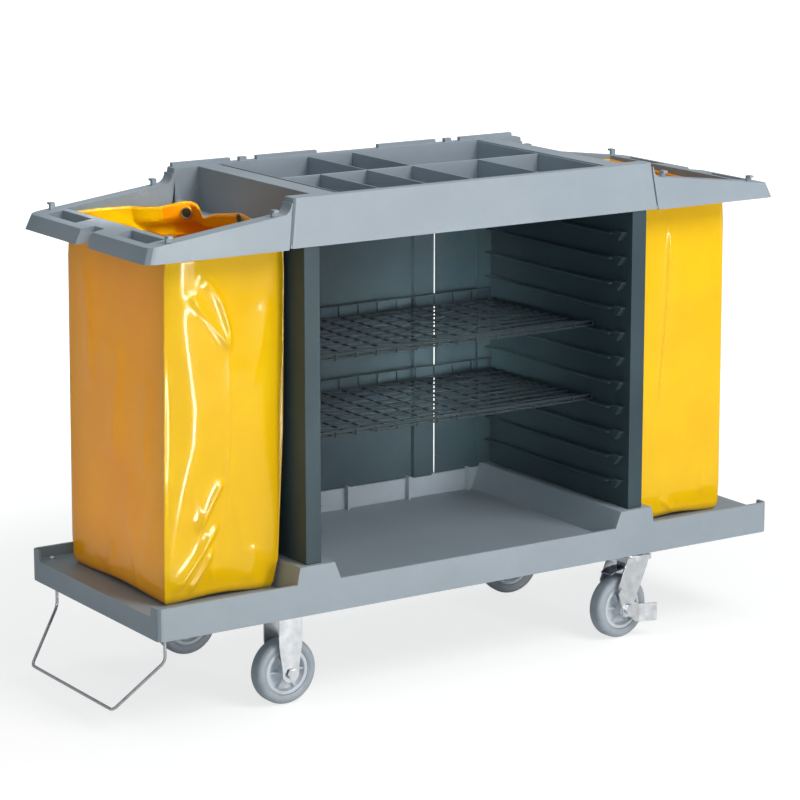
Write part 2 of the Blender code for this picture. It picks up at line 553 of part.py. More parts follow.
def swivel_caster(prefix, cx, cy, yaw, row):
    """Swivel caster: plate with kingpin, raked fork, wheel, brake leaf and toe lever."""
    plate = mount_plate()
    pin = [(0.030, PLATE_Z0 + 0.001), (0.030, 0.1708), (0.009, 0.1708), (0.009, 0.1562),
           (0.014, 0.1562), (0.014, 0.1510)]
    join(plate, loft([[(a, b, h) for a, b in circle(0, 0, r, 20)] for r, h in pin]))
    node(plate, f"{prefix}_plate", "zinc_steel", (cx, cy, 0))

    fork = prism(circle(0, 0, 0.033, 20), 0.1580, 0.1702)
    join(fork, box((-0.034, 0.030), (-FORK_Y - FORK_T, FORK_Y + FORK_T), (0.1575, 0.1680)))
    outline = leg_outline(-0.044, 0.026, 0.1670, -TRAIL, TYRE_R, 0.019)
    outline[2], outline[-1] = (0.018, 0.145), (-0.056, 0.116)
    outline[0] = (-0.034, 0.1670)
    for s in (-1, 1):
        join(fork, prism(outline, *sorted((s * FORK_Y, s * (FORK_Y + FORK_T + 0.0002))), "y"))
    cut(fork, prism(circle(0, 0, 0.0098, 20), 0.1, 0.2),
        prism(circle(-TRAIL, TYRE_R, AXLE_R + 0.0004, 16), -0.1, 0.1, "y"))
    node(fork, f"{prefix}_fork", "zinc_steel", (cx, cy, 0), yaw)

    turn = Matrix.Rotation(yaw, 3, "Z")
    centre = Vector((cx, cy, 0)) + turn @ Vector((-TRAIL, 0, TYRE_R))
    wheel(prefix, centre, yaw)
    bolts(prefix, cx, cy)

    top, t = TYRE_R * 2 + 0.014, 0.0025
    crown = [(-0.032, -0.008), (-0.018, -0.002), (0.0, 0.0), (0.018, -0.001), (0.028, -0.006)]
    leaf = [(a - TRAIL, top + b) for a, b in crown] + [(a - TRAIL, top + b + t) for a, b in crown[::-1]]
    shoe = prism(leaf, -0.015, 0.015, "y")
    join(shoe, box((-0.030, -0.018), (-0.008, 0.008), (top + t / 2, 0.1572)))
    node(shoe, f"{prefix}_brake_leaf", "zinc_steel", (cx, cy, 0), yaw)

    flat = [(-0.011, -0.013), (0.009, -0.019), (0.018, -0.029), (0.032, -0.033), (0.032, 0.005),
            (0.014, 0.012), (0.000, 0.036), (-0.018, 0.046), (-0.026, 0.036), (-0.018, 0.010)]
    y0 = FORK_Y + FORK_T + 0.0006
    lever = prism(flat, y0, y0 + 0.003, "y")
    toe = [(0.0305, y0), (0.066, y0 + 0.015), (0.065, y0 + 0.018), (0.0305, y0 + 0.0032)]
    join(lever, prism(toe, -0.0325, 0.0045))
    cut(lever, prism(circle(0, 0, AXLE_R + 0.0004, 16), -0.1, 0.1, "y"))
    if row < 0:
        mirror_y(lever)
    node(lever, f"{prefix}_brake_lever", "zinc_steel", centre, yaw)


def wire_rest():
    """Slanted wire loop below the left end, hung on two clips screwed through the floor."""
    half = [(REST_X, REST_Y - 0.0255, REST_Z), (REST_X, REST_Y, REST_Z), (REST_X, REST_Y, REST_KNEE_Z),
            (REST_TIP_X, REST_TIP_Y, REST_TIP_Z)]
    corners = half + [(a, -b, c) for a, b, c in half[::-1]]
    local = [(a - REST_X, b, c - REST_Z) for a, b, c in corners]
    wire = tube(fillet_path(local, 0.009), REST_R, 8)
    node(wire, "wire_rest", "bright_wire", (REST_X, 0, REST_Z), 0.0, 60)
    top = FLOOR_Z - FLOOR_T - GAP
    for name, s in ROWS.items():
        clip = box((-0.010, 0.010), (0.190, 0.240), (top - 0.0035, top))
        join(clip, box((-0.010, 0.010), (0.190, 0.205), (0.2015, top - 0.001)),
             box((0.0036, 0.010), (0.2045, 0.2225), (0.1930, top - 0.001)))
        cut(clip, prism(circle(0, REST_Z, REST_R + 0.0006, 12), 0, 0.2062, "y"),
            prism(circle(0, SCREW_Y, 0.0038, 8), 0.1, 0.3))
        if s < 0:
            mirror_y(clip)
        node(clip, f"rest_clip_{name}", "zinc_steel", (REST_X, 0, 0))
        head = [(0.0075, 0.0), (0.0075, 0.0012), (0.0055, 0.0032), (0.0025, 0.0042)]
        screw = loft([[(a, b, FLOOR_Z + GAP + h) for a, b in circle(0, 0, r, 12)] for r, h in head])
        join(screw, prism(circle(0, 0, 0.003, 8), top - 0.006, FLOOR_Z + 0.001))
        node(screw, f"rest_screw_{name}", "zinc_steel", (REST_X, s * SCREW_Y, 0), 0.0, 40)


for old in list(bpy.data.objects):
    bpy.data.objects.remove(old, do_unlink=True)
origin = bpy.data.objects.new("cart_origin", None)
origin.location = (ORIGIN_X, 0, 0)
bpy.context.scene.collection.objects.link(origin)

base_tray()
for side, sign in SIDES.items():
    side_panel(f"side_panel_{side}", sign)
back_panels()
for shelf, rail_index in zip(("wire_shelf_upper", "wire_shelf_lower"), SHELF_RAILS):
    wire_shelf(shelf, rail_index)
top_deck()
organizer()
for side, sign in SIDES.items():
    wing(f"wing_{side}", sign)
    bag(f"bag_{side}", sign)
for row_name, sign in ROWS.items():
    rigid_caster(f"caster_left_{row_name}", -CASTER_X, sign * CASTER_Y)
    swivel_caster(f"caster_right_{row_name}", CASTER_X, sign * CASTER_Y,
                  math.radians(SWIVEL_YAW[row_name]), sign)
wire_rest()
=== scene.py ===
"""Looks of a housekeeping cart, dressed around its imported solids. Metres, +Z up, cabinet front to -Y."""

import json

import bmesh
import bpy
import numpy as np
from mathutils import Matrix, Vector


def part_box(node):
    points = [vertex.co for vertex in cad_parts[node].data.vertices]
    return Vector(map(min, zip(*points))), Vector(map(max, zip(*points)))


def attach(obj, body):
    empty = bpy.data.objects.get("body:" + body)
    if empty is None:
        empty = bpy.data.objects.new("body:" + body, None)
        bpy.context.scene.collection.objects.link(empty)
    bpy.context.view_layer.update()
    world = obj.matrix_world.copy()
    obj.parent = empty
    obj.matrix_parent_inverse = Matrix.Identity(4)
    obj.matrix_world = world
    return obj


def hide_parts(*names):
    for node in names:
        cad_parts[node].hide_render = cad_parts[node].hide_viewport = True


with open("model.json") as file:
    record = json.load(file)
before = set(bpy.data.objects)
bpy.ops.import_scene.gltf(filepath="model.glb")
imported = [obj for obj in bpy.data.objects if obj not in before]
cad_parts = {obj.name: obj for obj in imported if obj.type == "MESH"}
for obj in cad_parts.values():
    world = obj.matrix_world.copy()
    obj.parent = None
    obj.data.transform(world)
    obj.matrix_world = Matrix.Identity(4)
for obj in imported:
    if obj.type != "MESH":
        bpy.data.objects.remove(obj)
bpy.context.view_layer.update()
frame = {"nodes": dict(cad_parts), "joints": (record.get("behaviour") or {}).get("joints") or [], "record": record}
body_of = {n: b for b, ns in frame["record"]["behaviour"]["bodies"].items() for n in ns}
joints = {j["name"]: j for j in frame["joints"]}
base_low, base_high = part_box("base_tray")
MIDDLE = (base_low.x + base_high.x) / 2      # the base's middle: left and right ends mirror about it


# Base tray: one injection-moulded tray of blue-grey polypropylene with a fine spark-eroded grain,
# rimmed platforms under the bags and ridges that carry the cabinet's side panels.
class Value:
    """A socket in a shader tree; arithmetic on it adds Math nodes."""

    def __init__(self, shader, socket):
        self.shader, self.socket = shader, socket

    def __add__(self, other):
        return self.shader.math("ADD", self, other)

    def __radd__(self, other):
        return self.shader.math("ADD", other, self)

    def __mul__(self, other):
        return self.shader.math("MULTIPLY", self, other)

    def __rmul__(self, other):
        return self.shader.math("MULTIPLY", other, self)


class Shader:
    """The node tree of a material or a world, round its main shader node."""

    def __init__(self, owner, main, **constants):
        owner.use_nodes = True
        self.owner, self.tree = owner, owner.node_tree
        self.main = self.tree.nodes[main]
        for key, value in constants.items():
            self.main.inputs[key.replace("_", " ")].default_value = value

    def node(self, kind, settings, inputs, output=0):
        """A new node with its settings and inputs; gives one of its outputs."""
        made = self.tree.nodes.new(kind)
        for key, value in settings.items():
            setattr(made, key, value)
        for key, value in inputs.items():
            if isinstance(value, Value):
                self.tree.links.new(value.socket, made.inputs[key])
            else:
                made.inputs[key].default_value = value
        return Value(self, made.outputs[output])

    def math(self, operation, *values):
        return self.node("ShaderNodeMath", {"operation": operation}, dict(enumerate(values)))

    def place(self, kind="Object"):
        return self.node("ShaderNodeTexCoord", {}, {}, kind)

    def ray(self, kind):
        return self.node("ShaderNodeLightPath", {}, {}, f"Is {kind} Ray")

    def noise(self, scale, detail=2.0, rough=0.5):
        return self.node("ShaderNodeTexNoise", {}, {"Vector": self.place(), "Scale": scale,
                                                    "Detail": detail, "Roughness": rough})

    def tint(self, factor, dark, light):
        """Colour between two tones, by a factor that mostly lies between 0.3 and 0.7."""
        colour = self.node("ShaderNodeValToRGB", {}, {0: factor})
        ends = colour.socket.node.color_ramp.elements
        for end, place, tone in zip(ends, (0.30, 0.70), (dark, light)):
            end.position, end.color = place, (*tone, 1.0)
        return colour

    def bump(self, height, strength, distance):
        return self.node("ShaderNodeBump", {}, {"Height": height, "Strength": strength,
                                                "Distance": distance})

    def feed(self, **links):
        """Join values to the main shader's inputs; gives the material or world."""
        for key, value in links.items():
            self.tree.links.new(value.socket, self.main.inputs[key.replace("_", " ")])
        return self.owner


def finish(name, **constants):
    """The shader of a new material."""
    return Shader(bpy.data.materials.new(name), "Principled BSDF", **constants)


def moulded_plastic(name, dark, light, grain=1.0, shine=0.5):
    """Moulded polypropylene: slow drift of tone, fine grain bump, gloss that varies a little."""
    paint = finish(name, Specular_IOR_Level=shine)
    drift = paint.noise(5.0, 3.0)
    scuff = paint.noise(38.0, 4.0, 0.65)
    tone = paint.tint(drift * 0.75 + scuff * 0.25, dark, light)
    grit = paint.noise(1500.0, 1.0)
    rough = 0.40 + scuff * 0.14
    return paint.feed(Base_Color=tone, Roughness=rough, Normal=paint.bump(grit, 0.10 * grain, 0.0004))


def dress(piece, node):
    """The piece stands for a CAD node and rides on its body."""
    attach(piece, body_of[node])
    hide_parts(node)


EDGE_ANGLE = np.radians(28)                  # edges that turn more than this are rounded


def soften(name, width, material):
    """A copy of a CAD node with its edges rounded to a width, standing for the node."""
    mesh = frame["nodes"][name].data.copy()
    mesh.name = name + "_moulding"
    bm = bmesh.new()
    bm.from_mesh(mesh)
    bmesh.ops.remove_doubles(bm, verts=bm.verts, dist=1e-5)
    bm.to_mesh(mesh)
    bm.free()
    mesh.materials.clear()
    mesh.materials.append(material)
    piece = bpy.data.objects.new(name + "_moulding", mesh)
    bpy.context.scene.collection.objects.link(piece)
    rounding = piece.modifiers.new("rounding", "BEVEL")
    rounding.width, rounding.segments, rounding.limit_method = width, 2, "ANGLE"
    rounding.angle_limit = EDGE_ANGLE
    rounding.use_clamp_overlap = True
    rounding.miter_outer = "MITER_ARC"
    mesh.shade_smooth()
    mesh.set_sharp_from_angle(angle=EDGE_ANGLE)
    weighted = piece.modifiers.new("normals", "WEIGHTED_NORMAL")
    weighted.keep_sharp = False
    dress(piece, name)


GREY_DARK, GREY_LIGHT = (0.270, 0.314, 0.362), (0.312, 0.355, 0.405)
moulded_grey = moulded_plastic("moulded_grey", GREY_DARK, GREY_LIGHT)
soften("base_tray", 0.0022, moulded_grey)


# Casters: pressed forks and plates of zinc-plated steel, grey rubber tyres bonded on ribbed plastic
# hubs. The right pair swivels on a kingpin and has a brake leaf over the tyre and a toe lever.
def plated_steel(name, dark, light, rough=0.24):
    """Zinc plate: bright metal with faint cloudy spangle and fine rolling marks."""
    paint = finish(name, Metallic=1.0)
    cloud = paint.noise(60.0, 3.0)
    rolling = paint.noise(420.0, 2.0)
    tone = paint.tint(cloud, dark, light)
    return paint.feed(Base_Color=tone, Roughness=rough + cloud * 0.16,
                      Normal=paint.bump(rolling, 0.06, 0.0003))


def surface(name, points, material, closed_u=False, closed_v=False, uv=None):
    """A mesh from a grid of points P[i, j]; either direction may close on itself."""
    n, m = points.shape[:2]
    i = np.arange(n if closed_u else n - 1)[:, None]
    j = np.arange(m if closed_v else m - 1)[None, :]
    a, b = i * m + j, (i + 1) % n * m + j
    c, d = (i + 1) % n * m + (j + 1) % m, i * m + (j + 1) % m
    faces = np.stack(np.broadcast_arrays(a, b, c, d), -1).reshape(-1, 4)
    mesh = bpy.data.meshes.new(name)
    mesh.from_pydata(points.reshape(-1, 3), [], faces.tolist())
    if uv is not None:
        loops = np.empty(len(mesh.loops), np.int64)
        mesh.loops.foreach_get("vertex_index", loops)
        layer = mesh.uv_layers.new(name="cloth")
        layer.data.foreach_set("uv", uv.reshape(-1, 2)[loops].astype(np.float32).ravel())
    mesh.materials.append(material)
    piece = bpy.data.objects.new(name, mesh)
    bpy.context.scene.collection.objects.link(piece)
    return piece


def outward(piece, sharp=35):
    """Close a mesh's poles, turn its faces out and shade it smooth up to an angle."""
    bm = bmesh.new()
    bm.from_mesh(piece.data)
    bmesh.ops.remove_doubles(bm, verts=bm.verts, dist=1e-6)
    bmesh.ops.recalc_face_normals(bm, faces=bm.faces)
    bm.to_mesh(piece.data)
    bm.free()
    piece.data.shade_smooth()
    piece.data.set_sharp_from_angle(angle=np.radians(sharp))
    return piece


zinc = plated_steel("zinc_plate", (0.56, 0.58, 0.61), (0.72, 0.74, 0.77))
spring_steel = plated_steel("spring_steel", (0.16, 0.18, 0.21), (0.26, 0.28, 0.31), 0.16)
paint = finish("grey_tyre_rubber")
worn = paint.noise(30.0, 4.0, 0.6)
rubber = paint.feed(Base_Color=paint.tint(worn, (0.30, 0.335, 0.38), (0.38, 0.415, 0.465)),
                    Roughness=0.42 + worn * 0.2, Normal=paint.bump(paint.noise(900.0), 0.12, 0.0004))
hub_grey = moulded_plastic("hub_grey", (0.52, 0.555, 0.61), (0.60, 0.635, 0.69))


def turned(profile, axis, centre, ribs=None, count=120):
    """Points of a closed (radius, height) profile turned about an axis: centre + r*(u cos a + v sin a)
    + h*axis, where ribs(r, h, a) may raise the height."""
    axis = np.array(axis, float) / np.linalg.norm(axis)
    up = np.array([0.0, 0.0, 1.0])
    side = np.cross(axis, up)
    angle = np.linspace(0, 2 * np.pi, count, endpoint=False)[:, None]
    r, h = np.array(profile, float).T
    r, h = np.broadcast_arrays(r[None, :], h[None, :])
    h = ribs(r, h, angle) if ribs else h
    across, above = r * np.cos(angle), r * np.sin(angle)
    return centre + across[..., None] * side + above[..., None] * up + h[..., None] * axis


def arc(cx, cy, radius, start, stop, steps):
    """Points of a circular arc in a profile, angles in degrees."""
    a = np.radians(np.linspace(start, stop, steps))
    return [(cx + radius * np.cos(t), cy + radius * np.sin(t)) for t in a]


TYRE_R, TYRE_HALF, TYRE_BED = 0.0645, 0.0180, 0.0460
tyre_side = [(TYRE_BED, 0.0160), (0.0490, 0.0166), (0.0500, 0.0176), (0.0530, TYRE_HALF)]
tyre_crown = arc(0.0535, 0.0070, 0.0110, 85, 12, 9) + [(TYRE_R, 0.0050), (TYRE_R, 0.0006)]
tyre_half = tyre_side + tyre_crown
tyre_profile = tyre_half + [(r, -h) for r, h in tyre_half[::-1]]
BORE_R, BOSS_R, HUB_R = 0.0065, 0.0140, 0.0453
hub_half = [(BORE_R, 0.0190), (0.0085, 0.0190), (0.0125, 0.0190), (BOSS_R, 0.0180), (0.0146, 0.0080),
            (0.0160, 0.0046), (0.0200, 0.0040), (0.0270, 0.0040), (0.0335, 0.0040), (0.0358, 0.0048),
            (0.0370, 0.0080), (0.0380, 0.0148), (0.0390, 0.0155), (0.0440, 0.0155), (HUB_R, 0.0148)]
hub_profile = hub_half + [(r, -h) for r, h in hub_half[::-1]]
RIB_COUNT, RIB_HALF, RIB_TOP = 6, 0.0026, 0.0120
WEB_TOP, WEB_IN, WEB_OUT = 0.0085, 0.0140, 0.0372


def hub_ribs(r, h, angle):
    """Radial ribs on the web between boss and rim raise its height to RIB_TOP on both sides:
    h + (top - h) * exp(-(sin(n a / 2) r / (n / 2 * half))^4) for n ribs."""
    turns = RIB_COUNT / 2
    rib = np.exp(-(np.sin(turns * angle) * r / (turns * RIB_HALF)) ** 4)
    web = (np.abs(h) < WEB_TOP) & (r > WEB_IN) & (r < WEB_OUT)
    return np.where(web, np.sign(h) * (np.abs(h) + rib * np.maximum(RIB_TOP - np.abs(h), 0)), h)


for side in ("left", "right"):
    for row in ("front", "back"):
        caster = f"caster_{side}_{row}"
        spin = joints[f"wheel_{side}_{row}_spin"]
        centre = np.array(spin["pos_m"])
        tyre = outward(surface(caster + "_tread", turned(tyre_profile, spin["axis"], centre), rubber,
                               closed_u=True, closed_v=True))
        dress(tyre, caster + "_tyre")
        hub = outward(surface(caster + "_wheel", turned(hub_profile, spin["axis"], centre, hub_ribs, 240),
                              hub_grey, closed_u=True, closed_v=True))
        dress(hub, caster + "_hub")
        for part in ["fork"] + (["plate", "brake_lever"] if side == "right" else []):
            soften(f"{caster}_{part}", 0.0007, zinc)
        if side == "right":
            frame["nodes"][caster + "_brake_leaf"].data.materials[0] = spring_steel
        for part in ["axle"] + [f"bolt_{k}" for k in range(1, 5)]:
            frame["nodes"][f"{caster}_{part}"].data.materials[0] = zinc


# Wire rest: a loop of bright 6 mm wire bent to a slope, its ends turned in and hung in two clips that
# are screwed through the floor of the left platform.
def wire(path, radius, sides=12):
    """Tube round a path: P = path + radius*(side cos a + other sin a), the section carried along."""
    path = np.array(path, float)
    along = np.gradient(path, axis=0)
    along /= np.linalg.norm(along, axis=1, keepdims=True)
    guide = np.array([0.0, 0.0, 1.0]) if np.ptp(path[:, 2]) < 1e-6 else np.array([1.0, 0.13, 0.0])
    side = np.cross(along, guide)
    side /= np.linalg.norm(side, axis=1, keepdims=True)
    other = np.cross(along, side)
    a = np.linspace(0, 2 * np.pi, sides, endpoint=False)[None, :, None]
    tube = path[:, None] + radius * (side[:, None] * np.cos(a) + other[:, None] * np.sin(a))
    return np.concatenate([path[:1, None] + 0 * tube[:1], tube, path[-1:, None] + 0 * tube[-1:]])


def rounded_path(corners, radius, steps=8):
    """Corners joined by quadratic bends: b + in*R*(1-t)^2 + out*R*t^2."""
    corners = [np.array(c, float) for c in corners]
    t = np.linspace(0, 1, steps)[:, None]
    path = [corners[0][None]]
    for a, b, c in zip(corners, corners[1:], corners[2:]):
        into, out = (a - b) / np.linalg.norm(a - b), (c - b) / np.linalg.norm(c - b)
        path.append(b + into * radius * (1 - t) ** 2 + out * radius * t ** 2)
    return np.concatenate(path + [corners[-1][None]])


REST_X, REST_Y, REST_R = joints["wire_rest_swing"]["pos_m"][0], 0.2158, 0.0030
REST_Z, KNEE_Z = joints["wire_rest_swing"]["pos_m"][2], 0.134
REST_TURN_IN, REST_BEND = 0.0255, 0.011
TIP = (REST_X - 0.083, 0.164, 0.041)
bright_wire = plated_steel("bright_wire", (0.40, 0.41, 0.43), (0.52, 0.53, 0.55), 0.20)
rest_half = [(REST_X, REST_Y - REST_TURN_IN, REST_Z), (REST_X, REST_Y, REST_Z),
             (REST_X, REST_Y, KNEE_Z), TIP]
rest_path = rounded_path(rest_half + [(x, -y, z) for x, y, z in rest_half[::-1]], REST_BEND)
rest = outward(surface("wire_rest_loop", wire(rest_path, REST_R), bright_wire, closed_v=True), 60)
dress(rest, "wire_rest")
for row in ("front", "back"):
    for part in ("clip", "screw"):
        frame["nodes"][f"rest_{part}_{row}"].data.materials[0] = zinc


# Cabinet walls: dark blue-grey panels, the sides hollow with moulded shelf rails, the back thin and
# slid into the slots of the sides' rear flanges.
PANEL_DARK, PANEL_LIGHT = (0.032, 0.055, 0.068), (0.047, 0.076, 0.091)
moulded_dark = moulded_plastic("moulded_dark", PANEL_DARK, PANEL_LIGHT, 1.4, 0.22)
for side in ("left", "right"):
    soften(f"side_panel_{side}", 0.0016, moulded_dark)
for part in ("left", "center", "right"):
    soften(f"back_panel_{part}", 0.0008, moulded_dark)


# Wire shelves: welded grids of 4 mm dark coated wire; the cross wires turn up at the front into a low
# lip and at the back into a fence, and each shelf lies loose on a pair of rails.
paint = finish("coated_wire", Specular_IOR_Level=0.25)
speckle = paint.noise(300.0, 3.0)
coated_wire = paint.feed(Base_Color=paint.tint(speckle, (0.016, 0.026, 0.032), (0.027, 0.040, 0.048)),
                         Roughness=0.40 + speckle * 0.15)
CROSS_COUNT, LONG_COUNT, WIRE_R = 16, 11, 0.0020
LIP_H, WIRE_BEND, LONG_INSET, END_INSET = 0.0150, 0.006, 0.018, 0.0008
WELD = 1.6 * WIRE_R                          # wires that cross are this far apart and sink in a little
for level in ("upper", "lower"):
    low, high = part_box(f"wire_shelf_{level}")
    z, lip, fence = low.z + WIRE_R, low.z + LIP_H - WIRE_R, high.z - WIRE_R
    front, back = low.y + WIRE_R, high.y - WIRE_R
    wires = []
    for x in np.linspace(low.x + WIRE_R, high.x - WIRE_R, CROSS_COUNT):
        bend = [(x, front, lip), (x, front, z), (x, back, z), (x, back, fence)]
        wires.append(wire(rounded_path(bend, WIRE_BEND, 5), WIRE_R, 8))
    rows = [(y, z + 1.7 * WIRE_R) for y in np.linspace(front + LONG_INSET, back - LONG_INSET, LONG_COUNT)]
    rows += [(front + WELD, lip), (back - WELD, fence), (front + WELD, z + WIRE_R)]
    ends = np.linspace(low.x + END_INSET, high.x - END_INSET, 3)
    for y, h in rows:
        wires.append(wire([(x, y, h) for x in ends], WIRE_R * 0.95, 8))
    parts = [outward(surface("wire", w, coated_wire, closed_v=True), 60) for w in wires]
    grid = parts[0]
    with bpy.context.temp_override(active_object=grid, selected_editable_objects=parts):
        bpy.ops.object.join()
    grid.name = f"shelf_grid_{level}"
    dress(grid, f"wire_shelf_{level}")


# Deck and organizer: the deck is a drafted shell that sits on the side panels; a lift-out tray with
# an egg-crate divider lies in its well.
for part, width in (("top_deck", 0.0022), ("organizer_tray", 0.0009), ("organizer_dividers", 0.0009)):
    soften(part, width, moulded_grey)


# Wings: moulded frames round the bag mouths, of the same plastic as the deck. They have hand slots, a
# handle notch, four small hooks each, and rails whose ends flare where they meet the deck.
for side in ("left", "right"):
    soften(f"wing_{side}", 0.0020, moulded_grey)


# Bags: yellow vinyl-coated cloth welded into an open box that stands on the platform and rises into the
# mouth of the wing. The front pulls into a few long glossy folds; tabs with eyelets stand up inside.
WALL_WIDE, WALL_UV_STEP = (0.24, 0.368, 0.24, 0.368), 0.4
END_FROM, CABINET_AT, CABINET_HALF = 1.1, 0.58, 0.20      # where the two gussets lie along the cloth's UV
paint = finish("yellow_vinyl", Specular_IOR_Level=0.36)
cloth_uv = paint.place("UV")
weave_x = paint.node("ShaderNodeTexWave", {"bands_direction": "X"}, {"Vector": cloth_uv, "Scale": 260.0})
weave_y = paint.node("ShaderNodeTexWave", {"bands_direction": "Y"}, {"Vector": cloth_uv, "Scale": 260.0})
grime = paint.noise(7.0, 3.0)
along = paint.node("ShaderNodeSeparateXYZ", {}, {0: cloth_uv})
# The two gussets, the outer end and the cabinet side, get a deeper orange than the front and back. This is painted
# shade for their shaded faces, since the cloth is one colour.
end_wall = paint.math("GREATER_THAN", along, END_FROM)
cabinet_wall = paint.math("COMPARE", along, CABINET_AT, CABINET_HALF)
main_tone = paint.tint(grime, (0.89, 0.495, 0.002), (0.95, 0.565, 0.004))
gusset_painted_shade = paint.tint(grime, (0.94, 0.345, 0.003), (0.98, 0.400, 0.004))
tone = paint.node("ShaderNodeMix", {"data_type": "RGBA"},
                  {0: end_wall + cabinet_wall, 6: main_tone, 7: gusset_painted_shade}, 2)
vinyl = paint.feed(Base_Color=tone, Roughness=0.10 + grime * 0.09,
                   Normal=paint.bump(weave_x * 0.5 + weave_y * 0.5, 0.03, 0.0002))


FOLD_STEPS, FOLD_STEEP, FOLD_FADE = 60, 0.45, 5.0
TOP_ROUND, TOP_LEVEL = 0.03, 0.17
WAVE, FAINT_FOLDS, EDGE_CALM = 0.0016, 6, 0.010
CREASE_SLOPE, CREASE_ROUND = 0.28, 0.0013
# The crease's path, in fractions of the wall: height, and distance from the corner at that height.
CREASE_UP = [0.0, 0.057, 0.154, 0.273, 0.437, 0.541, 0.668, 0.80, 0.90, 1.0]
CREASE_ACROSS = [0.012, 0.018, 0.048, 0.108, 0.212, 0.226, 0.187, 0.144, 0.128, 0.125]


def smooth(x):
    """Smoothstep of x held between 0 and 1: x^2 (3 - 2 x)."""
    x = np.clip(x, 0, 1)
    return x * x * (3 - 2 * x)


def fold(a, b, path, width, height):
    """A pinched fold along a quadratic path p, q, r: about height * exp(-distance / width) with a rounded
    top, steeper on the left of the path, dying out over a fifth of the path at both ends."""
    p, q, r = (np.array(point, float) for point in path)
    t = np.linspace(0, 1, FOLD_STEPS)
    line = np.outer((1 - t) ** 2, p) + np.outer(2 * t * (1 - t), q) + np.outer(t ** 2, r)
    run = np.gradient(line, axis=0)
    run /= np.linalg.norm(run, axis=1, keepdims=True)
    da, db = a[..., None] - line[:, 0], b[..., None] - line[:, 1]
    near = np.hypot(da, db).argmin(-1)
    da, db = a - line[near, 0], b - line[near, 1]
    left = run[near, 0] * db - run[near, 1] * da > 0
    slope = np.hypot(da, db) / np.where(left, FOLD_STEEP * width, width)
    fade = smooth(np.minimum(t[near], 1 - t[near]) * FOLD_FADE)
    return height * fade * np.exp(-np.sqrt(slope ** 2 + TOP_ROUND) + TOP_LEVEL)


def wall_lift(a, b, wide, tall, rng, folds):
    """Height of a wall over its plane in metres: slow waves, its own folds and a few faint random ones.
    Paths are in fractions of the wall; a runs along the wall, b up it."""
    across = np.sin(2.1 * np.pi * a / wide + rng.uniform(0, 6))
    lift = WAVE * across * np.sin(2.7 * np.pi * b / tall + 0.6)
    for path, width, height in folds:
        lift = lift + fold(a, b, [(u * wide, w * tall) for u, w in path], width, height)
    for _ in range(FAINT_FOLDS):
        middle = np.array([rng.uniform(0.12, 0.88) * wide, rng.uniform(0.06, 0.94) * tall])
        tilt = np.radians(rng.uniform(60, 115))
        step = np.array([np.cos(tilt), np.sin(tilt)]) * rng.uniform(0.05, 0.13)
        lift = lift + fold(a, b, [middle - step, middle + 0.1 * step[::-1], middle + step],
                           rng.uniform(0.012, 0.026), rng.uniform(0.0008, 0.0018))
    edge = np.clip(np.minimum(a, wide - a) / EDGE_CALM, 0, 1)
    return lift * edge * np.clip(b / EDGE_CALM, 0, 1)


def crease(a, b, wide, tall):
    """The long crease of the left bag's front: a facet slopes back from it to the corner, and the cloth
    falls away slowly on its other side: a soft minimum of slope * a and slope * edge * (1 - smoothstep)."""
    edge = wide * np.interp(b / tall, CREASE_UP, CREASE_ACROSS)
    facet, fall = CREASE_SLOPE * a, CREASE_SLOPE * edge * (1 - smooth((a - edge) / (wide - edge)))
    return -CREASE_ROUND * np.logaddexp(-facet / CREASE_ROUND, -fall / CREASE_ROUND)


# Folds of each bag's walls in the order front, cabinet side, back, outer end: path, width, height.
SOFT_WALL = [([(0.55, 0.72), (0.50, 0.50), (0.48, 0.33)], 0.040, 0.0040),
             ([(0.85, 0.64), (0.80, 0.48), (0.79, 0.33)], 0.034, 0.0034),
             ([(0.20, 0.90), (0.26, 0.70), (0.22, 0.52)], 0.030, 0.0030),
             ([(0.45, 0.12), (0.43, 0.06), (0.38, 0.01)], 0.022, 0.0036)]
FOLDS = {
    "left": ([([(0.17, 0.865), (0.37, 0.775), (0.56, 0.685)], 0.010, 0.0060),
              ([(0.24, 0.905), (0.50, 0.87), (0.54, 0.68)], 0.011, 0.0080),
              ([(0.52, 0.82), (0.52, 0.40), (0.51, 0.03)], 0.008, 0.0026),
              ([(0.49, 0.34), (0.40, 0.28), (0.27, 0.19)], 0.012, 0.0070),
              ([(0.48, 0.23), (0.30, 0.12), (0.06, 0.02)], 0.012, 0.0080),
              ([(0.42, 0.15), (0.32, 0.07), (0.20, 0.02)], 0.010, 0.0060),
              ([(0.86, 0.84), (0.82, 0.70), (0.68, 0.56)], 0.034, 0.0036),
              ([(0.78, 0.14), (0.79, 0.08), (0.76, 0.02)], 0.018, 0.0030)],
             SOFT_WALL, SOFT_WALL, SOFT_WALL),
    "right": ([([(0.59, 0.94), (0.58, 0.60), (0.72, 0.30)], 0.014, 0.0062),
               ([(0.22, 0.16), (0.20, 0.10), (0.21, 0.05)], 0.014, 0.0030),
               ([(0.70, 0.06), (0.62, 0.03), (0.54, 0.01)], 0.010, 0.0036)],
              SOFT_WALL, SOFT_WALL, SOFT_WALL)}
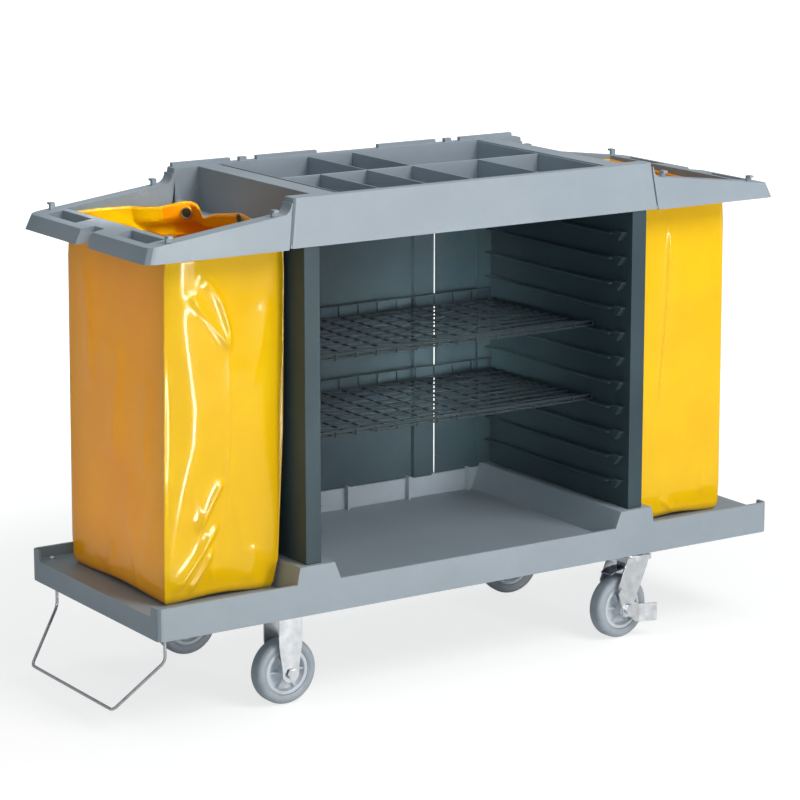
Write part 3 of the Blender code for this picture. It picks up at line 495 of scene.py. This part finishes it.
# Profile of a bag up its height, the last value at the rim: its inner and outer wall's distance from the
# cart's middle, and half its depth. The left bag is fuller than the right one.
BAG_UP = [0.0, 0.010, 0.056, 0.30, 0.60, 0.641, 0.651]
BAG_IN = [0.4300, 0.4265, 0.4160, 0.4040, 0.4000, 0.4010, 0.4270, 0.4300]
BAG_OUT = {"left": [0.6540, 0.6590, 0.6600, 0.6570, 0.6530, 0.6500, 0.6400, 0.6380],
           "right": [0.6340, 0.6390, 0.6400, 0.6370, 0.6330, 0.6300, 0.6300, 0.6290]}
BAG_DEEP = [0.177, 0.182, 0.184, 0.186, 0.188, 0.188, 0.188, 0.188]
BAG_SEED = {"left": 11, "right": 23}
BAG_ROWS, WALL_STEPS, CLOTH_T = 124, (120, 70, 90, 100), 0.0012
WALL_SINK, CORNER_WIDE, CORNER_ROUND = 0.0015, 0.005, 0.0014
CREASE_FOOT, MOUTH_H, MOUTH_CALM = 0.02, 0.645, 0.35      # folds are faint above the mouth of the wing
SOFT_CORNER, SOFT_FROM, SOFT_OVER = 0.085, 0.50, 0.15     # the inner rear corner is cut at the top
RIM_FROM, ARCH, ARCH_H, STAND = 0.94, 0.006, 0.05, 0.0010
# How far the rim rises along the cabinet wall, front to back: a low tab, a dip and the tall rear tab.
TAB_ALONG = [0.0, 0.05, 0.17, 0.29, 0.54, 0.645, 0.665, 0.69, 0.72, 0.82, 0.95, 1.0]
TAB_RISE = [-0.003, 0.004, 0.017, 0.023, 0.008, -0.005, -0.001, 0.012, 0.019, 0.0205, 0.0125, 0.008]
BACK_RISE = [0.008, 0.0065, 0.0085, 0.0095, 0.008]
FRONT_RISE = -0.003
# Eyelets: distance from the cabinet wall, y, z and the turn of each ring towards the bag's mouth.
EYELETS = ((0.0066, 0.1096, 0.8985, 45), (0.0, -0.079, 0.911, 0))
eyelet_metal = plated_steel("eyelet_metal", (0.30, 0.25, 0.18), (0.42, 0.36, 0.27), 0.3)
# Each eyelet ring is filled by a dark disc instead of a hole. The disc is painted shade for the dark hole through
# the eyelet.
eyelet_bore = moulded_plastic("eyelet_bore", (0.012, 0.010, 0.008), (0.022, 0.018, 0.014))
eyelet_profile = arc(0.0102, 0.0006, 0.0019, 0, 360, 17)[:-1]
hole_shade_half = [(0.0, 0.0012), (0.0050, 0.0012), (0.0104, 0.0012)]
hole_shade_profile = hole_shade_half + [(r, -h) for r, h in hole_shade_half[::-1]]


def bag_skin(side, sign, foot, tall):
    """Points and UV of a bag. At height h the walls join the four corners of its profile, corner + (next -
    corner) * s, and stand off by out * lift; z = h + rise of the rim + arch of the lower edge."""
    rng = np.random.default_rng(BAG_SEED[side])
    v = np.linspace(0, 1, BAG_ROWS)
    h = v * tall
    in_x, out_x, deep = (np.interp(h, BAG_UP + [tall], row) for row in (BAG_IN, BAG_OUT[side], BAG_DEEP))
    in_x, out_x = MIDDLE + sign * in_x, MIDDLE + sign * out_x
    cut = SOFT_CORNER * smooth((h - SOFT_FROM) / SOFT_OVER)
    corners = [(out_x, -deep), (in_x, -deep), (in_x, deep), (out_x, deep)]
    outs = [(0, -1), (-sign, 0), (0, 1), (sign, 0)]
    walls, spans = [], []
    for k, (steps, wide, out) in enumerate(zip(WALL_STEPS, WALL_WIDE, outs)):
        (x0, y0), (x1, y1) = corners[k], corners[(k + 1) % 4]
        s = np.linspace(0, 1, steps, endpoint=False)[:, None]
        a, b = s * wide + 0 * v, h + 0 * s
        flat = np.clip(np.minimum(s, 1 - s) * wide / CORNER_WIDE, 0, 1)
        lift = (wall_lift(a, b, wide, tall, rng, FOLDS[side][k]) - WALL_SINK) * flat
        if side == "left" and k == 0:
            lift = lift + crease(a, b, wide, tall) * np.clip(h / CREASE_FOOT, 0, 1)
        lift = lift * np.where(h > MOUTH_H, MOUTH_CALM, 1.0) - CORNER_ROUND * (1 - flat) ** 2
        back_s = np.linspace(0, 1, len(BACK_RISE))
        rim = [FRONT_RISE + 0 * s, np.interp(s, TAB_ALONG, TAB_RISE), np.interp(s, back_s, BACK_RISE),
               BACK_RISE[-1] + (FRONT_RISE - BACK_RISE[-1]) * s][k]
        rise = rim * np.clip((v - RIM_FROM) / (1 - RIM_FROM), 0, 1) ** 1.5
        arch = ARCH * np.sin(np.pi * s) ** 2 * np.clip(1 - h / ARCH_H, 0, 1)
        x, y = x0 + (x1 - x0) * s + lift * out[0], y0 + (y1 - y0) * s + lift * out[1]
        if k in (1, 2):
            past = np.clip(cut - np.hypot(x - in_x, y - deep), 0, None) / 2
            x, y = x + sign * past, y - past
        walls.append(np.stack([x, y, foot + STAND + h + rise + arch], -1))
        spans.append(s * wide + k * WALL_UV_STEP)
    skin = np.concatenate(walls)
    uv = np.stack(np.broadcast_arrays(np.concatenate(spans), h), -1)
    middle = skin[:, :1].mean(0, keepdims=True)
    rings = [middle + (skin[:, :1] - middle) * f for f in (0.0, 0.5, 0.9)]
    return np.concatenate(rings + [skin], 1), np.concatenate([uv[:, :1]] * len(rings) + [uv], 1)


for side, sign in (("left", -1), ("right", 1)):
    low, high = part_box(f"bag_{side}")
    skin, uv = bag_skin(side, sign, low.z, high.z - low.z)
    bag = outward(surface(f"vinyl_bag_{side}", skin, vinyl, closed_u=True, uv=uv), 180)
    cloth = bag.modifiers.new("cloth", "SOLIDIFY")
    cloth.thickness, cloth.offset = CLOTH_T, -1.0
    dress(bag, f"bag_{side}")
    for number, (off, y, z, turn) in enumerate(EYELETS, 1):
        centre = np.array([MIDDLE + sign * (BAG_IN[-1] + 0.5 * CLOTH_T + off), y, z])
        axis = (sign * np.cos(np.radians(turn)), -np.sin(np.radians(turn)), 0)
        # The second part of each eyelet is the dark disc of painted shade inside the ring.
        for part, profile, material, slot in (("ring", eyelet_profile, eyelet_metal, "zinc_steel"),
                                              ("bore", hole_shade_profile, eyelet_bore, "dark_plastic")):
            points = turned(profile, axis, centre, count=32)
            eyelet = outward(surface(f"bag_{side}_eyelet_{number}_{part}", points, material,
                                     closed_u=True, closed_v=part == "ring"))
            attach(eyelet, body_of[f"bag_{side}"])


# Stage: a white floor, a key light at the front right, a large hood above it, a light overhead and a soft
# fill at the front left. A tall strip shows only as the shine on the bag's folds, three narrow lamps lift
# the shaded end, the cabinet and the bag's mouth, and the camera stands at the photograph's angle.
FLOOR, FLOOR_Z = 30.0, -0.0005
paint = finish("white_floor", Roughness=0.9, Base_Color=(0.75, 0.75, 0.75, 1.0))
away = paint.node("ShaderNodeVectorMath", {"operation": "LENGTH"}, {0: paint.place()}, "Value")
clear = paint.node("ShaderNodeMapRange", {"interpolation_type": "SMOOTHSTEP"},
                   {"Value": away, "From Min": 0.9, "From Max": 2.6, "To Min": 0.55, "To Max": 1.0})
glow = paint.node("ShaderNodeEmission", {}, {"Color": (1.0, 1.0, 1.0, 1.0), "Strength": 1.35})
mixed = paint.node("ShaderNodeMixShader", {}, {0: paint.ray("Camera") * clear + paint.ray("Glossy") * 0.2,
                                               1: Value(paint, paint.main.outputs[0]), 2: glow})
paint.tree.links.new(mixed.socket, paint.tree.nodes["Material Output"].inputs["Surface"])
floor_grid = np.array([[(x, y, FLOOR_Z) for y in (-FLOOR, FLOOR)] for x in (-FLOOR, FLOOR)])
floor = surface("floor", floor_grid, paint.owner)


def area_light(name, place, target, size, power, colour, spread=180, diffuse=True, glossy=True):
    """A rectangular lamp that the camera doesn't see, turned to a target; its spread is in degrees."""
    lamp = bpy.data.lights.new(name, "AREA")
    lamp.shape, lamp.energy, lamp.color = "RECTANGLE", power, colour
    lamp.size, lamp.size_y = size
    lamp.spread = np.radians(spread)
    holder = bpy.data.objects.new(name, lamp)
    holder.location = place
    holder.rotation_euler = (Vector(target) - Vector(place)).to_track_quat("-Z", "Y").to_euler()
    holder.visible_camera, holder.visible_diffuse, holder.visible_glossy = False, diffuse, glossy
    bpy.context.scene.collection.objects.link(holder)


WARM, NEUTRAL = (1.0, 0.955, 0.900), (1.0, 0.990, 0.975)
COOL, AMBER = (0.88, 1.0, 1.0), (1.0, 0.82, 0.62)
area_light("key", (1.2, -4.2, 0.9), (MIDDLE, 0, 0.55), (0.4, 1.2), 52, WARM)
area_light("strip", (-0.27, -1.50, 0.50), (MIDDLE - 0.53, -0.19, 0.50), (0.07, 0.96), 14, NEUTRAL,
           diffuse=False)
area_light("fill", (-2.5, -4.4, 1.3), (MIDDLE, 0, 0.5), (1.4, 1.4), 24, COOL)
area_light("hood", (0.8, -2.4, 3.0), (MIDDLE, 0, 0.7), (1.6, 1.6), 68, NEUTRAL)
area_light("top", (0.1, -0.2, 3.6), (MIDDLE, 0, 0.5), (2.4, 2.4), 33, NEUTRAL)
area_light("side", (-2.6, -0.9, 0.60), (MIDDLE - 0.66, 0, 0.56), (0.34, 0.60), 0.20, AMBER,
           spread=6, glossy=False)
area_light("inside", (-1.6, -3.0, 0.70), (MIDDLE + 0.13, 0.1, 0.54), (0.28, 0.34), 0.80, NEUTRAL,
           spread=8, glossy=False)
area_light("mouth", (-0.53, -1.5, 2.2), (MIDDLE - 0.53, 0.17, 0.84), (0.26, 0.10), 0.20, NEUTRAL,
           spread=5, glossy=False)
studio = Shader(bpy.data.worlds.new("studio"), "Background")
sky = studio.node("ShaderNodeMixRGB", {}, {"Fac": studio.ray("Glossy"), "Color1": (0.74, 0.95, 1.0, 1.0),
                                           "Color2": (1.0, 1.0, 1.0, 1.0)})
CAMERA_SKY, GLOSSY_SKY, PLAIN_SKY = 1.1, 0.15, 0.25
strength = studio.ray("Camera") * CAMERA_SKY + (studio.ray("Glossy") * GLOSSY_SKY + PLAIN_SKY)
bpy.context.scene.world = studio.feed(Color=sky, Strength=strength)

CAMERA_PLACE, CAMERA_TARGET, LENS = (-3.2878, -4.9784, 1.8389), (-0.0235, 0.0, 0.5034), 139.04
camera = bpy.data.objects.new("camera", bpy.data.cameras.new("camera"))
camera.data.lens, camera.data.sensor_width = LENS, 36.0
camera.location = Vector(CAMERA_PLACE) + Vector((MIDDLE, 0, 0))
look = Vector(CAMERA_TARGET) - Vector(CAMERA_PLACE)
camera.rotation_euler = look.to_track_quat("-Z", "Y").to_euler()
bpy.context.scene.collection.objects.link(camera)
bpy.context.scene.camera = camera
bpy.context.scene.view_settings.view_transform = "Standard"
